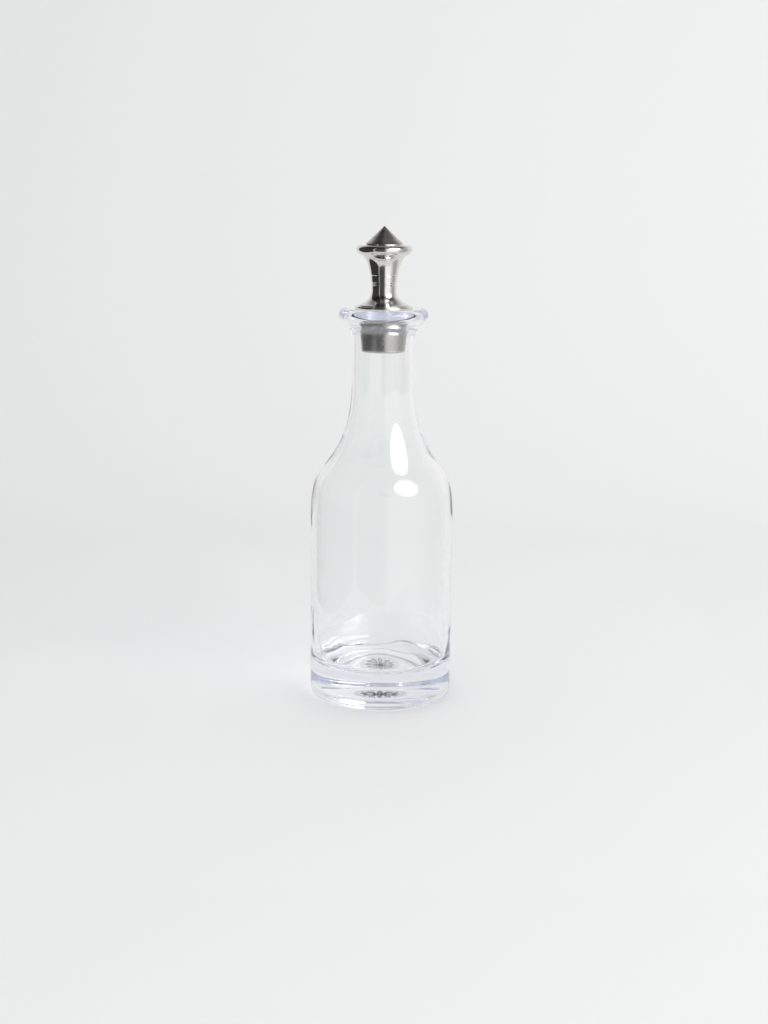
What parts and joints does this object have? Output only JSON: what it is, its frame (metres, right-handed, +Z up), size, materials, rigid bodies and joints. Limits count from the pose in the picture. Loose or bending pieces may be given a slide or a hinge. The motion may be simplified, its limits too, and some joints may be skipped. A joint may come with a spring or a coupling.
{
  "type": "glass oil bottle",
  "caption": "Clear blown-glass table oil bottle with a long shoulder, a thick lip, a heavy base and a lift-out turned pewter stopper.",
  "frame": {"origin": "centre of the resting face under the bottle", "axes": "+Z up along the bottle's axis; the pinhole in the stopper's plug faces -Y"},
  "size_m": [0.075, 0.075, 0.247],
  "materials": {
    "clear_glass": "polished",
    "fired_enamel": "satin",
    "polished_pewter": "polished",
    "satin_pewter": "satin"
  },
  "bodies": {
    "bottle": {"bottle": "clear_glass", "base_mark": "fired_enamel"},
    "stopper": {"plug_end": "satin_pewter", "plug_shell": "satin_pewter", "foot_disc": "polished_pewter", "stem": "polished_pewter", "knob_rim": "polished_pewter", "knob_cone": "satin_pewter"}
  },
  "joints": [
    {"name": "stopper_lift", "type": "slide", "parent": "bottle", "child": "stopper", "axis": [0, 0, 1], "range_m": [0, 0.06]}
  ]
}
